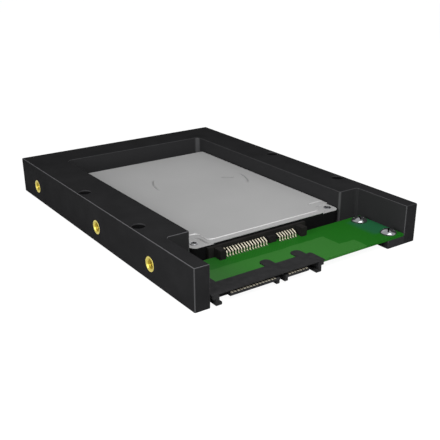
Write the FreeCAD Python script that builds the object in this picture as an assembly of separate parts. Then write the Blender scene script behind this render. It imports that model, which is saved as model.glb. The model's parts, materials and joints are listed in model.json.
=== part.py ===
import FreeCAD, Part
import math
import os

V = FreeCAD.Vector

# Drive bay adapter bracket, in millimetres: +Z up, the connector end at -Y, the closed end at +Y.
# The origin is the centre of the whole part's footprint, on the face that it rests on.

# Bracket frame: two rails and a back bar round the small drive
rail_width = 15.4
back_bar_width = 16.1
frame_height = 15.5
frame_edge_chamfer = 0.3
front_wall = 6.0
opening_corner_radius = 2.3
rail_nose_radius = 1.0
rail_root_radius = 1.2

# Small drive that the bracket carries
drive_width = 69.85
drive_length = 100.35
drive_height = 7.0
drive_corner_radius = 3.0
drive_setback = 25.7
drive_side_gap = 0.475
drive_rear_gap = 4.85
rail_end_inset = 0.9

# Lip under the drive, and the screws that come up through it
lip_thickness = 2.5
lip_width = 9.0
rear_lip_width = 10.0
drive_hole_spacing_x = 61.72
drive_hole_front = 14.0
drive_hole_spacing_y = 76.6
drive_screw_radius = 1.5
drive_screw_head_radius = 2.6
drive_screw_head_height = 1.2
drive_screw_grip = 3.0
drive_screw_cross_reach = 1.45
drive_screw_cross_depth = 0.95

# Side inserts and bottom holes, at the places of the larger bay's standard
insert_places = (28.5, 70.1, 130.1)
insert_height = 6.35
insert_radius = 2.85
insert_length = 5.5
insert_bore_radius = 1.75
insert_end_gaps = (0.1, 0.39, 0.7)
bay_hole_front = 41.28
bay_hole_inset = 3.175
bay_hole_spacing_y = 44.45
bay_hole_radius = 2.55

# Cored pockets in the underside of the frame
core_wall = 2.4
core_roof = 2.5
core_rib = 1.8
core_side_pitch = 22.0
core_back_pitch = 15.0
boss_wall = 1.6

# Circuit board and its screws
board_thickness = 1.0
board_rear_gap = 1.7
board_side_gap = 0.25
ledge_height = 3.4
ledge_width = 8.6
board_screw_inset = 4.8
board_screw_front = 3.75
board_screw_rear_inset = 4.5
board_screw_radius = 1.5
board_screw_length = 3.8
board_screw_head_radius = 3.15
board_screw_head_height = 1.9
board_screw_rim_height = 0.75
board_screw_crown_radius = 1.75
board_screw_cross_reach = 1.55
board_screw_cross_depth = 0.95
board_screw_turn = 40.0
board_hole_gap = 0.2
cross_width = 0.6

# Contacts, shared by all connectors: fifteen for power, then a gap, then seven for signal
contact_pitch = 1.27
power_count = 15
signal_count = 7
segment_gap = 6.35
contact_width = 0.8
contact_thickness = 0.2
contact_proud = 0.05
seat_gap = 0.04

# Plug tongues and guide arms, shared by the host plug and the drive's own plug
tongue_thickness = 1.1
tongue_chamfer = 0.3
tongue_outer_margin = 0.84
tongue_key_margin = 1.9
key_width = 1.1
key_drop = 1.4
arm_margin = 6.575
arm_wall = 1.3
arm_foot_width = 2.3
arm_foot_height = 1.0
arm_length = 5.6

# Host plug at the front of the bracket
plug_side_gap = 0.12
plug_proud = 0.7
plug_base = 0.5
plug_plate_thickness = 0.35
plug_plate_overhang = 0.5
plug_plate_rear = 7.0
plug_plate_corner = 1.0
plug_wing_width = 1.05
plug_wing_height = 1.85
plug_body_rear = 5.6
plug_block_depth = 1.7
plug_cavity_depth = 3.6
plug_tab_places = (-19.6, 5.6, 19.6)
plug_tab_width = 4.4
plug_tab_reach = 11.6
plug_tab_radius = 1.9
plug_contact_tip_gap = 0.2
plug_tail_length = 1.4
board_notch_gap = 0.15

# Receptacle on the board, and the drive's plug that it mates with
mate_offset = -6.9
receptacle_top = 8.2
receptacle_depth = 1.4
receptacle_flange_gap = 0.1
ear_inset = 2.45
ear_width = 2.5
ear_length = 3.9
ear_top = 7.9
nose_side_gap = 0.25
nose_bottom = 3.7
nose_top = 7.8
nose_length = 4.9
mate_gap = 0.15
bridge_width = 3.6
bridge_length = 1.8
bridge_height = 2.3
bridge_arch_radius = 1.1
bridge_arch_depth = 0.5
contact_exit_height = 6.8
contact_nose_inset = 0.8
knee_length = 2.1
knee_height = 5.9
foot_length = 0.5
slot_contact_gap = 0.05

# The drive's own parts
mate_tongue_top = 5.9
mate_plug_bottom = 2.9
mate_plug_top = 7.95
mate_plug_depth = 8.0
mate_plug_roof_gap = 0.1
cover_lug_drop = 0.8
cover_rim_drop = 0.3
cover_thickness = 0.5
cover_rim_front = 2.6
cover_rim_side = 0.3
cover_back_radius = 1.5
cover_edge_chamfer = 0.2
cover_lug_width = 7.0
cover_lug_length = 7.6
cover_lug_radius = 2.5
cover_step_width = 8.4
cover_step_length = 10.4
cover_step_radius = 2.0
drive_board_width = 50.0
drive_board_length = 46.0
drive_board_thickness = 0.8
drive_board_recess = 1.3
drive_board_gap = 0.3

# Overlap where two shapes are fused into one, and how far a cutting shape runs past what it cuts
join = 0.5
past = 1.0

# Sizes and places worked out from those above
frame_width = drive_width + 2 * (drive_side_gap + rail_width)
frame_length = drive_setback + drive_length + drive_rear_gap + back_bar_width
front_y = (plug_proud - frame_length) / 2
back_y = front_y + frame_length
half_width = frame_width / 2
bay_half = half_width - front_wall
opening_half = drive_width / 2 + drive_side_gap
drive_front_y = front_y + drive_setback
rail_end_y = drive_front_y + rail_end_inset
drive_back_y = drive_front_y + drive_length
opening_back_y = drive_back_y + drive_rear_gap
drive_bottom = lip_thickness
drive_top = drive_bottom + drive_height
board_bottom = ledge_height
board_top = board_bottom + board_thickness
board_rear_y = drive_front_y - board_rear_gap
bay_hole_x = half_width - bay_hole_inset
plug_front_y = front_y - plug_proud
plug_body_rear_y = front_y + plug_body_rear
plug_top = board_top + plug_plate_thickness
plug_tongue_top = board_bottom - contact_proud
receptacle_face_y = drive_front_y - receptacle_depth
power_span = (power_count - 1) * contact_pitch
signal_span = (signal_count - 1) * contact_pitch
contact_span = power_span + segment_gap + signal_span
arm_half_span = contact_span / 2 + arm_margin
plug_wing_half_span = arm_half_span + plug_wing_width
plug_plate_half_span = plug_wing_half_span + plug_plate_overhang
plug_x = plug_side_gap + plug_plate_half_span - bay_half
ear_half_span = arm_half_span - ear_inset
nose_half_span = arm_half_span - arm_foot_width - nose_side_gap
cover_bottom = drive_top - cover_lug_drop - cover_thickness


def box(x0, x1, y0, y1, z0, z1):
    """Block between two corners."""
    return Part.makeBox(x1 - x0, y1 - y0, z1 - z0, V(x0, y0, z0))


def rod(radius, x, y, z0, z1):
    """Upright cylinder."""
    return Part.makeCylinder(radius, z1 - z0, V(x, y, z0))


def rounded_wire(corners):
    """Closed plan outline from (x, y, radius) corners, each rounded by its own tangent arc."""
    points = [V(x, y, 0) for x, y, _ in corners]
    edges = []
    starts = []
    ends = []
    for index, (_, _, radius) in enumerate(corners):
        here = points[index]
        to_last = (points[index - 1] - here).normalize()
        to_next = (points[(index + 1) % len(points)] - here).normalize()
        half_turn = to_last.getAngle(to_next) / 2
        reach = radius / math.tan(half_turn)
        starts.append(here + to_last * reach)
        ends.append(here + to_next * reach)
        if radius > 0:
            middle = (to_last + to_next).normalize()
            centre = here + middle * (radius / math.sin(half_turn))
            arc_top = centre - middle * radius
            edges.append(Part.Arc(starts[index], arc_top, ends[index]).toShape())
    for index in range(len(points)):
        after = (index + 1) % len(points)
        edges.append(Part.LineSegment(ends[index], starts[after]).toShape())
    return Part.Wire(Part.__sortEdges__(edges))


def plate(corners, z0, z1):
    """Plate with a rounded plan outline."""
    face = Part.Face(rounded_wire(corners))
    face.translate(V(0, 0, z0))
    return face.extrude(V(0, 0, z1 - z0))


def side_profile(points, x0, x1):
    """Closed outline of (y, z) points, carried along X."""
    wire = Part.makePolygon([V(x0, y, z) for y, z in points + points[:1]])
    return Part.Face(wire).extrude(V(x1 - x0, 0, 0))


def turned(outline):
    """Solid of revolution about Z from a closed outline of (radius, z) points."""
    points = [V(radius, 0, z) for radius, z in outline]
    wire = Part.makePolygon(points + points[:1])
    return Part.Face(wire).revolve(V(0, 0, 0), V(0, 0, 1), 360)


def cross(reach, z0, z1):
    """Cross recess about Z, for cutting out of a screw's head."""
    half = cross_width / 2
    return [box(-reach, reach, -half, half, z0, z1), box(-half, half, -reach, reach, z0, z1)]


def front_profile(points, y0, y1):
    """Closed outline of (x, z) points, carried along Y."""
    wire = Part.makePolygon([V(x, y0, z) for x, z in points + points[:1]])
    return Part.Face(wire).extrude(V(0, y1 - y0, 0))


def mirrored(shape):
    """The same shape on the other side of the YZ plane."""
    return shape.mirror(V(0, 0, 0), V(1, 0, 0))


def level_edges(shape, height):
    """Edges that lie in one horizontal plane."""
    found = []
    for edge in shape.Edges:
        bounds = edge.BoundBox
        if abs(bounds.ZMin - height) < 1e-6 and abs(bounds.ZMax - height) < 1e-6:
            found.append(edge)
    return found


def upright_edges(shape, places):
    """Vertical edges at the given plan places."""
    found = []
    for edge in shape.Edges:
        bounds = edge.BoundBox
        if bounds.ZLength < 1e-6:
            continue
        for x, y in places:
            if math.hypot(bounds.XMin - x, bounds.YMin - y) < 1e-6 and bounds.XLength + bounds.YLength < 1e-6:
                found.append(edge)
    return found


def contact_places(centre):
    """X of each power contact, then of each signal contact, about a connector's centre."""
    first = centre - contact_span / 2
    power = [first + index * contact_pitch for index in range(power_count)]
    signal_start = first + power_span + segment_gap
    signal = [signal_start + index * contact_pitch for index in range(signal_count)]
    return power, signal


def save(name, shape):
    """Write one sub-part's solids to its STEP file."""
    solids = shape.Solids
    result = solids[0] if len(solids) == 1 else Part.makeCompound(solids)
    result.exportStep(os.path.join("parts", name + ".step"))


def drive_hole_places():
    """X and Y of the four screws that hold the drive from below."""
    first_y = drive_front_y + drive_hole_front
    return [
        (side * drive_hole_spacing_x / 2, first_y + row * drive_hole_spacing_y)
        for side in (-1, 1)
        for row in (0, 1)
    ]


def bay_hole_places():
    """X and Y of the four through holes for the bay's bottom screws."""
    first_y = front_y + bay_hole_front
    return [
        (side * bay_hole_x, first_y + row * bay_hole_spacing_y)
        for side in (-1, 1)
        for row in (0, 1)
    ]


def board_screw_places():
    """X and Y of the board's screws: two on the right ledge, one on the short left ledge."""
    x = bay_half - board_screw_inset
    front = front_y + board_screw_front
    rear = board_rear_y - board_screw_rear_inset
    return [(x, front), (x, rear), (-x, rear)]


def side_core_pockets():
    """Pockets under one wide rail, between the inner wall and the hole bosses."""
    x0 = opening_half + core_wall
    x1 = bay_hole_x - bay_hole_radius - boss_wall
    y0 = rail_end_y + core_wall
    y1 = opening_back_y - core_wall
    count = max(1, round((y1 - y0 + core_rib) / core_side_pitch))
    length = (y1 - y0 - (count - 1) * core_rib) / count
    z1 = frame_height - core_roof
    pockets = []
    for index in range(count):
        start = y0 + index * (length + core_rib)
        pockets.append(box(x0, x1, start, start + length, -past, z1))
    return pockets


def back_core_pockets():
    """Pockets under the back bar."""
    x1 = half_width - core_wall
    y0 = opening_back_y + core_wall
    y1 = back_y - core_wall
    count = max(1, round((2 * x1 + core_rib) / core_back_pitch))
    length = (2 * x1 - (count - 1) * core_rib) / count
    z1 = frame_height - core_roof
    pockets = []
    for index in range(count):
        start = -x1 + index * (length + core_rib)
        pockets.append(box(start, start + length, y0, y1, -past, z1))
    return pockets


def insert_seats(side):
    """Round seats for one rail's inserts, with more room for a long screw's tip where the rail is thicker."""
    seats = []
    for place, gap in zip(insert_places, insert_end_gaps):
        start = V(side * half_width, front_y + place, insert_height)
        seats.append(Part.makeCylinder(insert_radius + seat_gap, insert_length + gap, start, V(-side, 0, 0)))
    return seats


def bracket_frame():
    """One moulding: U-shaped rails and back bar, lip, board ledges, cores, seats and holes."""
    outline = [
        (-half_width, front_y, 0),
        (-bay_half, front_y, 0),
        (-bay_half, rail_end_y, rail_root_radius),
        (-opening_half, rail_end_y, rail_nose_radius),
        (-opening_half, opening_back_y, opening_corner_radius),
        (opening_half, opening_back_y, opening_corner_radius),
        (opening_half, rail_end_y, rail_nose_radius),
        (bay_half, rail_end_y, rail_root_radius),
        (bay_half, front_y, 0),
        (half_width, front_y, 0),
        (half_width, back_y, 0),
        (-half_width, back_y, 0),
    ]
    frame = plate(outline, 0, frame_height)
    sharp = [(x, y) for x, y, radius in outline if radius == 0]
    frame = frame.makeChamfer(frame_edge_chamfer, level_edges(frame, frame_height) + upright_edges(frame, sharp))
    frame = frame.fuse([lip(), right_ledge(), left_ledge()]).removeSplitter()
    cuts = side_core_pockets() + back_core_pockets()
    cuts += [mirrored(pocket) for pocket in side_core_pockets()]
    cuts += [rod(bay_hole_radius, x, y, -past, frame_height + past) for x, y in bay_hole_places()]
    cuts += insert_seats(-1) + insert_seats(1)
    cuts += [drive_screw_hole(x, y) for x, y in drive_hole_places()]
    for x, y in board_screw_places():
        cuts.append(rod(board_screw_radius + seat_gap, x, y, -past, board_bottom + past))
    return frame.cut(cuts)


def lip():
    """Flat lip round three sides of the opening, which the drive lies on."""
    inner = opening_half - lip_width
    rear = drive_back_y - rear_lip_width + core_wall
    overlap = core_wall / 2
    front = rail_end_y + rail_nose_radius
    corners = [
        (-opening_half - overlap, front, 0),
        (-inner, front, 0),
        (-inner, rear, opening_corner_radius),
        (inner, rear, opening_corner_radius),
        (inner, front, 0),
        (opening_half + overlap, front, 0),
        (opening_half + overlap, opening_back_y + overlap, 0),
        (-opening_half - overlap, opening_back_y + overlap, 0),
    ]
    return plate(corners, 0, lip_thickness)


def right_ledge():
    """Ledge under the board's right end, flush with the frame's front."""
    overlap = front_wall / 2
    y1 = rail_end_y + rail_root_radius
    corners = [
        (bay_half - ledge_width, front_y, frame_edge_chamfer),
        (bay_half + overlap, front_y, 0),
        (bay_half + overlap, y1, 0),
        (opening_half + core_wall / 2, y1, 0),
        (opening_half + core_wall / 2, rail_end_y, 0),
        (bay_half - ledge_width, rail_end_y, 0),
    ]
    return plate(corners, 0, ledge_height)


def left_ledge():
    """Shorter ledge behind the host plug, under the board's left end."""
    overlap = front_wall / 2
    y0 = plug_body_rear_y + plug_tail_length + mate_gap
    return box(-bay_half - overlap, -bay_half + ledge_width, y0, rail_end_y, 0, ledge_height)


def drive_screw_hole(x, y):
    """Stepped hole through the lip, with a countersunk seat for the screw's head."""
    hole = rod(drive_screw_radius + seat_gap, x, y, -past, lip_thickness + past)
    cone = Part.makeCone(
        drive_screw_head_radius + seat_gap,
        drive_screw_radius + seat_gap,
        drive_screw_head_height,
        V(x, y, 0),
    )
    return hole.fuse(cone)


def side_insert(side, y):
    """Turned brass insert with its screw bore, flush with the rail's outer face."""
    outline = [
        (insert_bore_radius, 0),
        (insert_radius, 0),
        (insert_radius, insert_length),
        (insert_bore_radius, insert_length),
    ]
    body = turned(outline)
    body.rotate(V(0, 0, 0), V(0, 1, 0), -90 * side)
    body.translate(V(side * half_width, front_y + y, insert_height))
    return body


def circuit_board():
    """Board between the rails, notched round the host plug's body."""
    half = bay_half - board_side_gap
    notch_right = plug_x + plug_wing_half_span + board_notch_gap
    notch_rear = plug_body_rear_y + board_notch_gap
    board = box(-half, half, front_y, board_rear_y, board_bottom, board_top)
    z0 = board_bottom - past
    z1 = board_top + past
    notch = box(-half - past, notch_right, front_y - past, notch_rear, z0, z1)
    holes = [rod(board_screw_radius + board_hole_gap, x, y, z0, z1) for x, y in board_screw_places()]
    return board.cut([notch] + holes)


def pan_screw(x, y, seat):
    """Pan-head screw standing on a seat, its shank down, with a cross recess in its crown."""
    outline = [
        (0, -board_screw_length),
        (board_screw_radius, -board_screw_length),
        (board_screw_radius, 0),
        (board_screw_head_radius, 0),
        (board_screw_head_radius, board_screw_rim_height),
        (board_screw_crown_radius, board_screw_head_height),
        (0, board_screw_head_height),
    ]
    recess_floor = board_screw_head_height - board_screw_cross_depth
    body = turned(outline).cut(cross(board_screw_cross_reach, recess_floor, board_screw_head_height + past))
    body.rotate(V(0, 0, 0), V(0, 0, 1), board_screw_turn)
    body.translate(V(x, y, seat))
    return body


def board_screws():
    """The pan-head screws that clamp the board to its ledges."""
    return Part.makeCompound([pan_screw(x, y, board_top) for x, y in board_screw_places()])


def countersunk_screw(x, y):
    """Countersunk screw with its head down, its top reaching into the drive."""
    top = lip_thickness + drive_screw_grip
    outline = [
        (0, 0),
        (drive_screw_head_radius, 0),
        (drive_screw_radius, drive_screw_head_height),
        (drive_screw_radius, top),
        (0, top),
    ]
    body = turned(outline).cut(cross(drive_screw_cross_reach, -past, drive_screw_cross_depth))
    body.translate(V(x, y, 0))
    return body


def drive_mounting_screws():
    """Four screws from below, through the lip into the drive."""
    return Part.makeCompound([countersunk_screw(x, y) for x, y in drive_hole_places()])


def tongue(x0, x1, y0, y1, top, key_side):
    """One contact tongue with a chamfered lead-in and its downward key at one end."""
    bottom = top - tongue_thickness
    chamfer = tongue_chamfer
    blade = side_profile(
        [(y0, bottom + chamfer), (y0, top - chamfer / 2), (y0 + chamfer / 2, top), (y1, top),
         (y1, bottom), (y0 + chamfer, bottom)], x0, x1)
    key_x = x1 - key_width if key_side > 0 else x0
    key = side_profile(
        [(y0 + chamfer, top - chamfer), (y1, top - chamfer), (y1, bottom - key_drop),
         (y0 + 2 * chamfer, bottom - key_drop), (y0 + chamfer, bottom - key_drop + chamfer)],
        key_x, key_x + key_width)
    return blade.fuse(key)


def tongue_spans(centre):
    """Left and right ends of the power tongue, then of the signal tongue."""
    power, signal = contact_places(centre)
    return [
        (power[0] - tongue_outer_margin, power[-1] + tongue_key_margin, 1),
        (signal[0] - tongue_key_margin, signal[-1] + tongue_outer_margin, -1),
    ]


def plug_tongues(centre, y0, y1, top):
    """Both tongues of a plug."""
    blades = []
    for x0, x1, key_side in tongue_spans(centre):
        blades.append(tongue(x0, x1, y0, y1, top, key_side))
    return blades


def guide_arms(centre, y0, y1, bottom, top):
    """The two guide arms of a plug, each with its foot turned inwards."""
    arms = []
    for side in (-1, 1):
        outer = side * arm_half_span
        wall = side * (arm_half_span - arm_wall)
        foot = side * (arm_half_span - arm_foot_width)
        points = [
            (centre + outer, bottom),
            (centre + outer, top),
            (centre + wall, top),
            (centre + wall, bottom + arm_foot_height),
            (centre + foot, bottom + arm_foot_height),
            (centre + foot, bottom),
        ]
        arms.append(front_profile(points, y0, y1))
    return arms


def blade_slots(centre, y0, y1, top):
    """Seats that the flat contacts lie in, for cutting out of a plug's moulding."""
    power, signal = contact_places(centre)
    half = contact_width / 2 + seat_gap / 2
    low = top + contact_proud - contact_thickness
    return [box(x - half, x + half, y0, y1, low, top + contact_proud + seat_gap) for x in power + signal]


def flat_contacts(places, y0, y1, top):
    """Flat contacts along a plug's tongue, running back through its body."""
    half = contact_width / 2
    low = top + contact_proud - contact_thickness
    return Part.makeCompound([box(x - half, x + half, y0, y1, low, top + contact_proud) for x in places])


def host_plug():
    """Host plug: top plate with rounded tabs, body in the board's notch, arms and tongues."""
    left = plug_x - plug_plate_half_span
    right = plug_x + plug_plate_half_span
    rear = front_y + plug_plate_rear
    top_plate = plate([
        (left, plug_front_y, 0),
        (right, plug_front_y, 0),
        (right, rear, plug_plate_corner),
        (left, rear, 0),
    ], board_top, plug_top)
    tabs = []
    for place in plug_tab_places:
        x0 = plug_x + place - plug_tab_width / 2
        x1 = x0 + plug_tab_width
        reach = front_y + plug_tab_reach
        tabs.append(plate([
            (x0, front_y, 0),
            (x1, front_y, 0),
            (x1, reach, plug_tab_radius),
            (x0, reach, plug_tab_radius),
        ], board_top, plug_top))
    wing_left = plug_x - plug_wing_half_span
    wing_right = plug_x + plug_wing_half_span
    cavity_rear = plug_front_y + plug_cavity_depth
    body = box(wing_left, wing_right, cavity_rear, plug_body_rear_y, plug_top - plug_wing_height, board_top)
    block = box(
        plug_x - arm_half_span, plug_x + arm_half_span,
        plug_body_rear_y - plug_block_depth, plug_body_rear_y, plug_base, plug_top)
    wings = []
    for side in (-1, 1):
        inner = plug_x + side * (arm_half_span - arm_wall)
        outer = wing_left if side < 0 else wing_right
        low = min(inner, outer)
        high = max(inner, outer)
        wings.append(box(low, high, plug_front_y, plug_body_rear_y, plug_top - plug_wing_height, plug_top))
    arms = guide_arms(plug_x, plug_front_y, plug_body_rear_y, plug_base, plug_top - plug_wing_height / 2)
    blades = plug_tongues(plug_x, plug_front_y, plug_body_rear_y, plug_tongue_top)
    shell = top_plate.fuse(tabs + [body, block] + wings + arms + blades)
    slots = blade_slots(plug_x, plug_front_y + plug_contact_tip_gap, plug_body_rear_y + past, plug_tongue_top)
    return shell.cut(slots).removeSplitter()


def host_plug_contacts(places):
    """Contacts of the host plug, their tails under the board."""
    return flat_contacts(
        places, plug_front_y + plug_contact_tip_gap, plug_body_rear_y + plug_tail_length, plug_tongue_top)


def receptacle():
    """Receptacle: flange, ears on the board, bridge between the groups, nose with keyed slots."""
    y0 = receptacle_face_y
    y1 = drive_front_y - receptacle_flange_gap
    half = arm_half_span
    flange_bottom = nose_bottom
    flange = box(mate_offset - half, mate_offset + half, y0, y1, flange_bottom, receptacle_top)
    nose_end = drive_front_y + nose_length
    nose = box(
        mate_offset - nose_half_span, mate_offset + nose_half_span, y0, nose_end, nose_bottom, nose_top)
    over_board = box(
        mate_offset - half - past, mate_offset + half + past, y0 - past, board_rear_y + mate_gap,
        nose_bottom - past, board_top)
    body = flange.fuse(nose).cut(over_board)
    ears = []
    for side in (-1, 1):
        inner = mate_offset + side * (ear_half_span - ear_width)
        outer = mate_offset + side * ear_half_span
        ears.append(box(min(inner, outer), max(inner, outer), y0 - ear_length, y0 + join, board_top, ear_top))
    body = body.fuse(ears + [bridge()])
    return body.cut(nose_slots(nose_end) + contact_channels()).removeSplitter()


def bridge():
    """Block between the two contact groups, with an arched recess in its front."""
    power, signal = contact_places(mate_offset)
    centre = (power[-1] + signal[0]) / 2
    half = bridge_width / 2
    front = receptacle_face_y - bridge_length
    top = board_top + bridge_height
    block = box(centre - half, centre + half, front, receptacle_face_y + join, board_top, top)
    arch = Part.makeCylinder(bridge_arch_radius, bridge_arch_depth, V(centre, front, top), V(0, 1, 0))
    return block.cut(arch)


def nose_slots(nose_end):
    """Keyed slots in the nose, open towards the drive, that take the plug's tongues."""
    slots = []
    low = mate_tongue_top - tongue_thickness - mate_gap
    high = mate_tongue_top + contact_proud + slot_contact_gap + contact_thickness
    start = drive_front_y - mate_gap
    for x0, x1, key_side in tongue_spans(mate_offset):
        slots.append(box(x0 - mate_gap, x1 + mate_gap, start, nose_end + past, low, high))
        key_x = x1 - key_width if key_side > 0 else x0
        slots.append(box(
            key_x - mate_gap, key_x + key_width + mate_gap, start, nose_end + past,
            nose_bottom - past, low + mate_gap))
    return slots


def spring_profile():
    """Centre line of a receptacle contact in (y, z): beam over the tongue, knee, foot."""
    beam = mate_tongue_top + contact_proud + slot_contact_gap + contact_thickness / 2
    knee = receptacle_face_y - knee_length
    half = contact_thickness / 2
    return [
        (drive_front_y + nose_length - contact_nose_inset, beam),
        (drive_front_y, beam),
        (receptacle_face_y, contact_exit_height),
        (knee, knee_height),
        (knee, board_top + half),
        (knee - foot_length, board_top + half),
    ]


def ribbon(path, width):
    """Closed (y, z) outline of a strip of even thickness that follows a bent path, with mitred bends."""
    left = []
    right = []
    headings = []
    for here, after in zip(path, path[1:]):
        headings.append(math.atan2(after[1] - here[1], after[0] - here[0]))
    for index, (y, z) in enumerate(path):
        before = headings[max(index - 1, 0)]
        after = headings[min(index, len(headings) - 1)]
        turn = math.remainder(after - before, 2 * math.pi)
        middle = before + turn / 2
        reach = width / 2 / math.cos(turn / 2)
        offset_y = -math.sin(middle) * reach
        offset_z = math.cos(middle) * reach
        left.append((y + offset_y, z + offset_z))
        right.append((y - offset_y, z - offset_z))
    return left + right[::-1]


def spring_contacts(places):
    """Bent contacts of the receptacle, one for each place."""
    outline = ribbon(spring_profile(), contact_thickness)
    half = contact_width / 2
    return Part.makeCompound([side_profile(outline, x - half, x + half) for x in places])


def contact_channels():
    """Slots through the flange and nose that the bent contacts pass through."""
    path = spring_profile()
    slope = (path[2][1] - path[1][1]) / (path[2][0] - path[1][0])
    outside = (path[2][0] - past, path[2][1] - slope * past)
    outline = ribbon([path[0], path[1], outside], contact_thickness + 2 * seat_gap)
    half = contact_width / 2 + seat_gap
    power, signal = contact_places(mate_offset)
    return [side_profile(outline, x - half, x + half) for x in power + signal]


def drive_plug():
    """The drive's own plug, set into its front: back wall, guide arms and tongues."""
    y1 = drive_front_y + mate_plug_depth
    wall_y = drive_front_y + arm_length
    half = arm_half_span
    wall = box(mate_offset - half, mate_offset + half, wall_y, y1, mate_plug_bottom, mate_plug_top)
    arms = guide_arms(mate_offset, drive_front_y, y1, mate_plug_bottom, mate_plug_top)
    blades = plug_tongues(mate_offset, drive_front_y + contact_proud, wall_y + join, mate_tongue_top)
    shell = wall.fuse(arms + blades)
    slots = blade_slots(mate_offset, drive_front_y + plug_contact_tip_gap, y1 + past, mate_tongue_top)
    return shell.cut(slots).removeSplitter()


def drive_plug_contacts():
    """Flat contacts of the drive's plug."""
    power, signal = contact_places(mate_offset)
    return flat_contacts(
        power + signal, drive_front_y + plug_contact_tip_gap, drive_front_y + mate_plug_depth, mate_tongue_top)


def drive_outline():
    """The drive's plan, its front corners rounder than its back ones."""
    half = drive_width / 2
    return [
        (-half, drive_front_y, drive_corner_radius),
        (half, drive_front_y, drive_corner_radius),
        (half, drive_back_y, cover_back_radius),
        (-half, drive_back_y, cover_back_radius),
    ]


def notched_outline(inset_side, inset_front, notch_x, notch_y, radius):
    """The drive's plan pulled in at its sides and front, its front corners stepped back for screw lugs."""
    half = drive_width / 2
    x_out = half - inset_side
    x_in = half - notch_x
    front_out = drive_front_y + inset_front
    front_in = drive_front_y + notch_y
    back = drive_back_y - inset_side
    return [
        (-x_in, front_out, radius),
        (x_in, front_out, radius),
        (x_in, front_in, radius),
        (x_out, front_in, 0),
        (x_out, back, cover_back_radius),
        (-x_out, back, cover_back_radius),
        (-x_out, front_in, 0),
        (-x_in, front_in, radius),
    ]


def drive_base():
    """The drive's casting, solid inside, open for its plug and recessed for its board."""
    body = plate(drive_outline(), drive_bottom, cover_bottom)
    half = arm_half_span + mate_gap
    mouth = box(
        mate_offset - half, mate_offset + half,
        drive_front_y - past, drive_front_y + mate_plug_depth + mate_gap,
        drive_bottom - past, mate_plug_top + mate_plug_roof_gap)
    recess_half = drive_board_width / 2 + drive_board_gap
    board_start = drive_front_y + mate_plug_depth
    recess = box(
        -recess_half, recess_half,
        board_start, board_start + drive_board_length + 2 * drive_board_gap,
        drive_bottom - past, drive_bottom + drive_board_recess)
    holes = []
    for x, y in drive_hole_places():
        holes.append(rod(drive_screw_radius + seat_gap, x, y, drive_bottom - past, drive_bottom + drive_screw_grip))
    return body.cut([mouth, recess] + holes)


def drive_circuit_board():
    """The drive's own board, flat against its underside behind the plug."""
    half = drive_board_width / 2
    y0 = drive_front_y + mate_plug_depth + drive_board_gap
    top = drive_bottom + drive_board_recess
    return box(-half, half, y0, y0 + drive_board_length, top - drive_board_thickness, top)


def drive_cover():
    """Stamped cover: lugs at the front corners, a rim step and a raised field."""
    lug_top = drive_top - cover_lug_drop
    rim_top = drive_top - cover_rim_drop
    lugs = plate(drive_outline(), cover_bottom, lug_top)
    rim = plate(
        notched_outline(0, 0, cover_lug_width, cover_lug_length, cover_lug_radius),
        cover_bottom, rim_top)
    field = plate(
        notched_outline(cover_rim_side, cover_rim_front, cover_step_width, cover_step_length, cover_step_radius),
        cover_bottom, drive_top)
    field = field.makeChamfer(cover_edge_chamfer, level_edges(field, drive_top))
    return lugs.fuse([rim, field]).removeSplitter()


os.makedirs("parts", exist_ok=True)
host_power, host_signal = contact_places(plug_x)
mate_power, mate_signal = contact_places(mate_offset)

save("bracket_frame", bracket_frame())
for side_name, side in (("left", -1), ("right", 1)):
    for place_name, place in zip(("front", "middle", "rear"), insert_places):
        save("insert_" + side_name + "_" + place_name, side_insert(side, place))
save("circuit_board", circuit_board())
save("board_screws", board_screws())
save("host_plug", host_plug())
save("host_plug_power_contacts", host_plug_contacts(host_power))
save("host_plug_signal_contacts", host_plug_contacts(host_signal))
save("receptacle", receptacle())
save("receptacle_power_contacts", spring_contacts(mate_power))
save("receptacle_signal_contacts", spring_contacts(mate_signal))
save("drive_base", drive_base())
save("drive_cover", drive_cover())
save("drive_circuit_board", drive_circuit_board())
save("drive_plug", drive_plug())
save("drive_plug_contacts", drive_plug_contacts())
save("drive_mounting_screws", drive_mounting_screws())
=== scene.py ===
import json
import math

import bpy
import numpy as np
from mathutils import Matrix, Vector


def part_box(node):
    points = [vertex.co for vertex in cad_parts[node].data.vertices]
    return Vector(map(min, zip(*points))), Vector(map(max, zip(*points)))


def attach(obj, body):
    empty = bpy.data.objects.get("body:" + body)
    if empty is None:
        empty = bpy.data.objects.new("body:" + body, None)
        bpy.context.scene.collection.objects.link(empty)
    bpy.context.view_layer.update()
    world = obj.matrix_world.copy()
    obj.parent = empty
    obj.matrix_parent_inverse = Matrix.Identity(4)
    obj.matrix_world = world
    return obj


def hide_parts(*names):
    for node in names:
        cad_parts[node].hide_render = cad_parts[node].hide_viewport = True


bl_info = {
    "name": "Drive Bay Bracket Dressing",
    "version": (1, 0, 0),
    "blender": (4, 5, 0),
    "location": "3D View > Sidebar > Drive Bracket",
    "description": "Finishes and small parts for an adapter bracket that carries a small drive",
    "category": "Object",
}

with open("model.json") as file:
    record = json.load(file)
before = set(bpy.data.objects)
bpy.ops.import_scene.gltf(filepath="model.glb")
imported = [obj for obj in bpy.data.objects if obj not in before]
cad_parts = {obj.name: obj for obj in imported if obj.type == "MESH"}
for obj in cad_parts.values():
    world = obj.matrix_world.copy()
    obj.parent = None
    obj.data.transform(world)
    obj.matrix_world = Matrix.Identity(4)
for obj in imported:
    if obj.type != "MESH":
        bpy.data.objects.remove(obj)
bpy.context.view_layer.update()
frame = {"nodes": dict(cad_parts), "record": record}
nodes = frame["nodes"]

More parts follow.
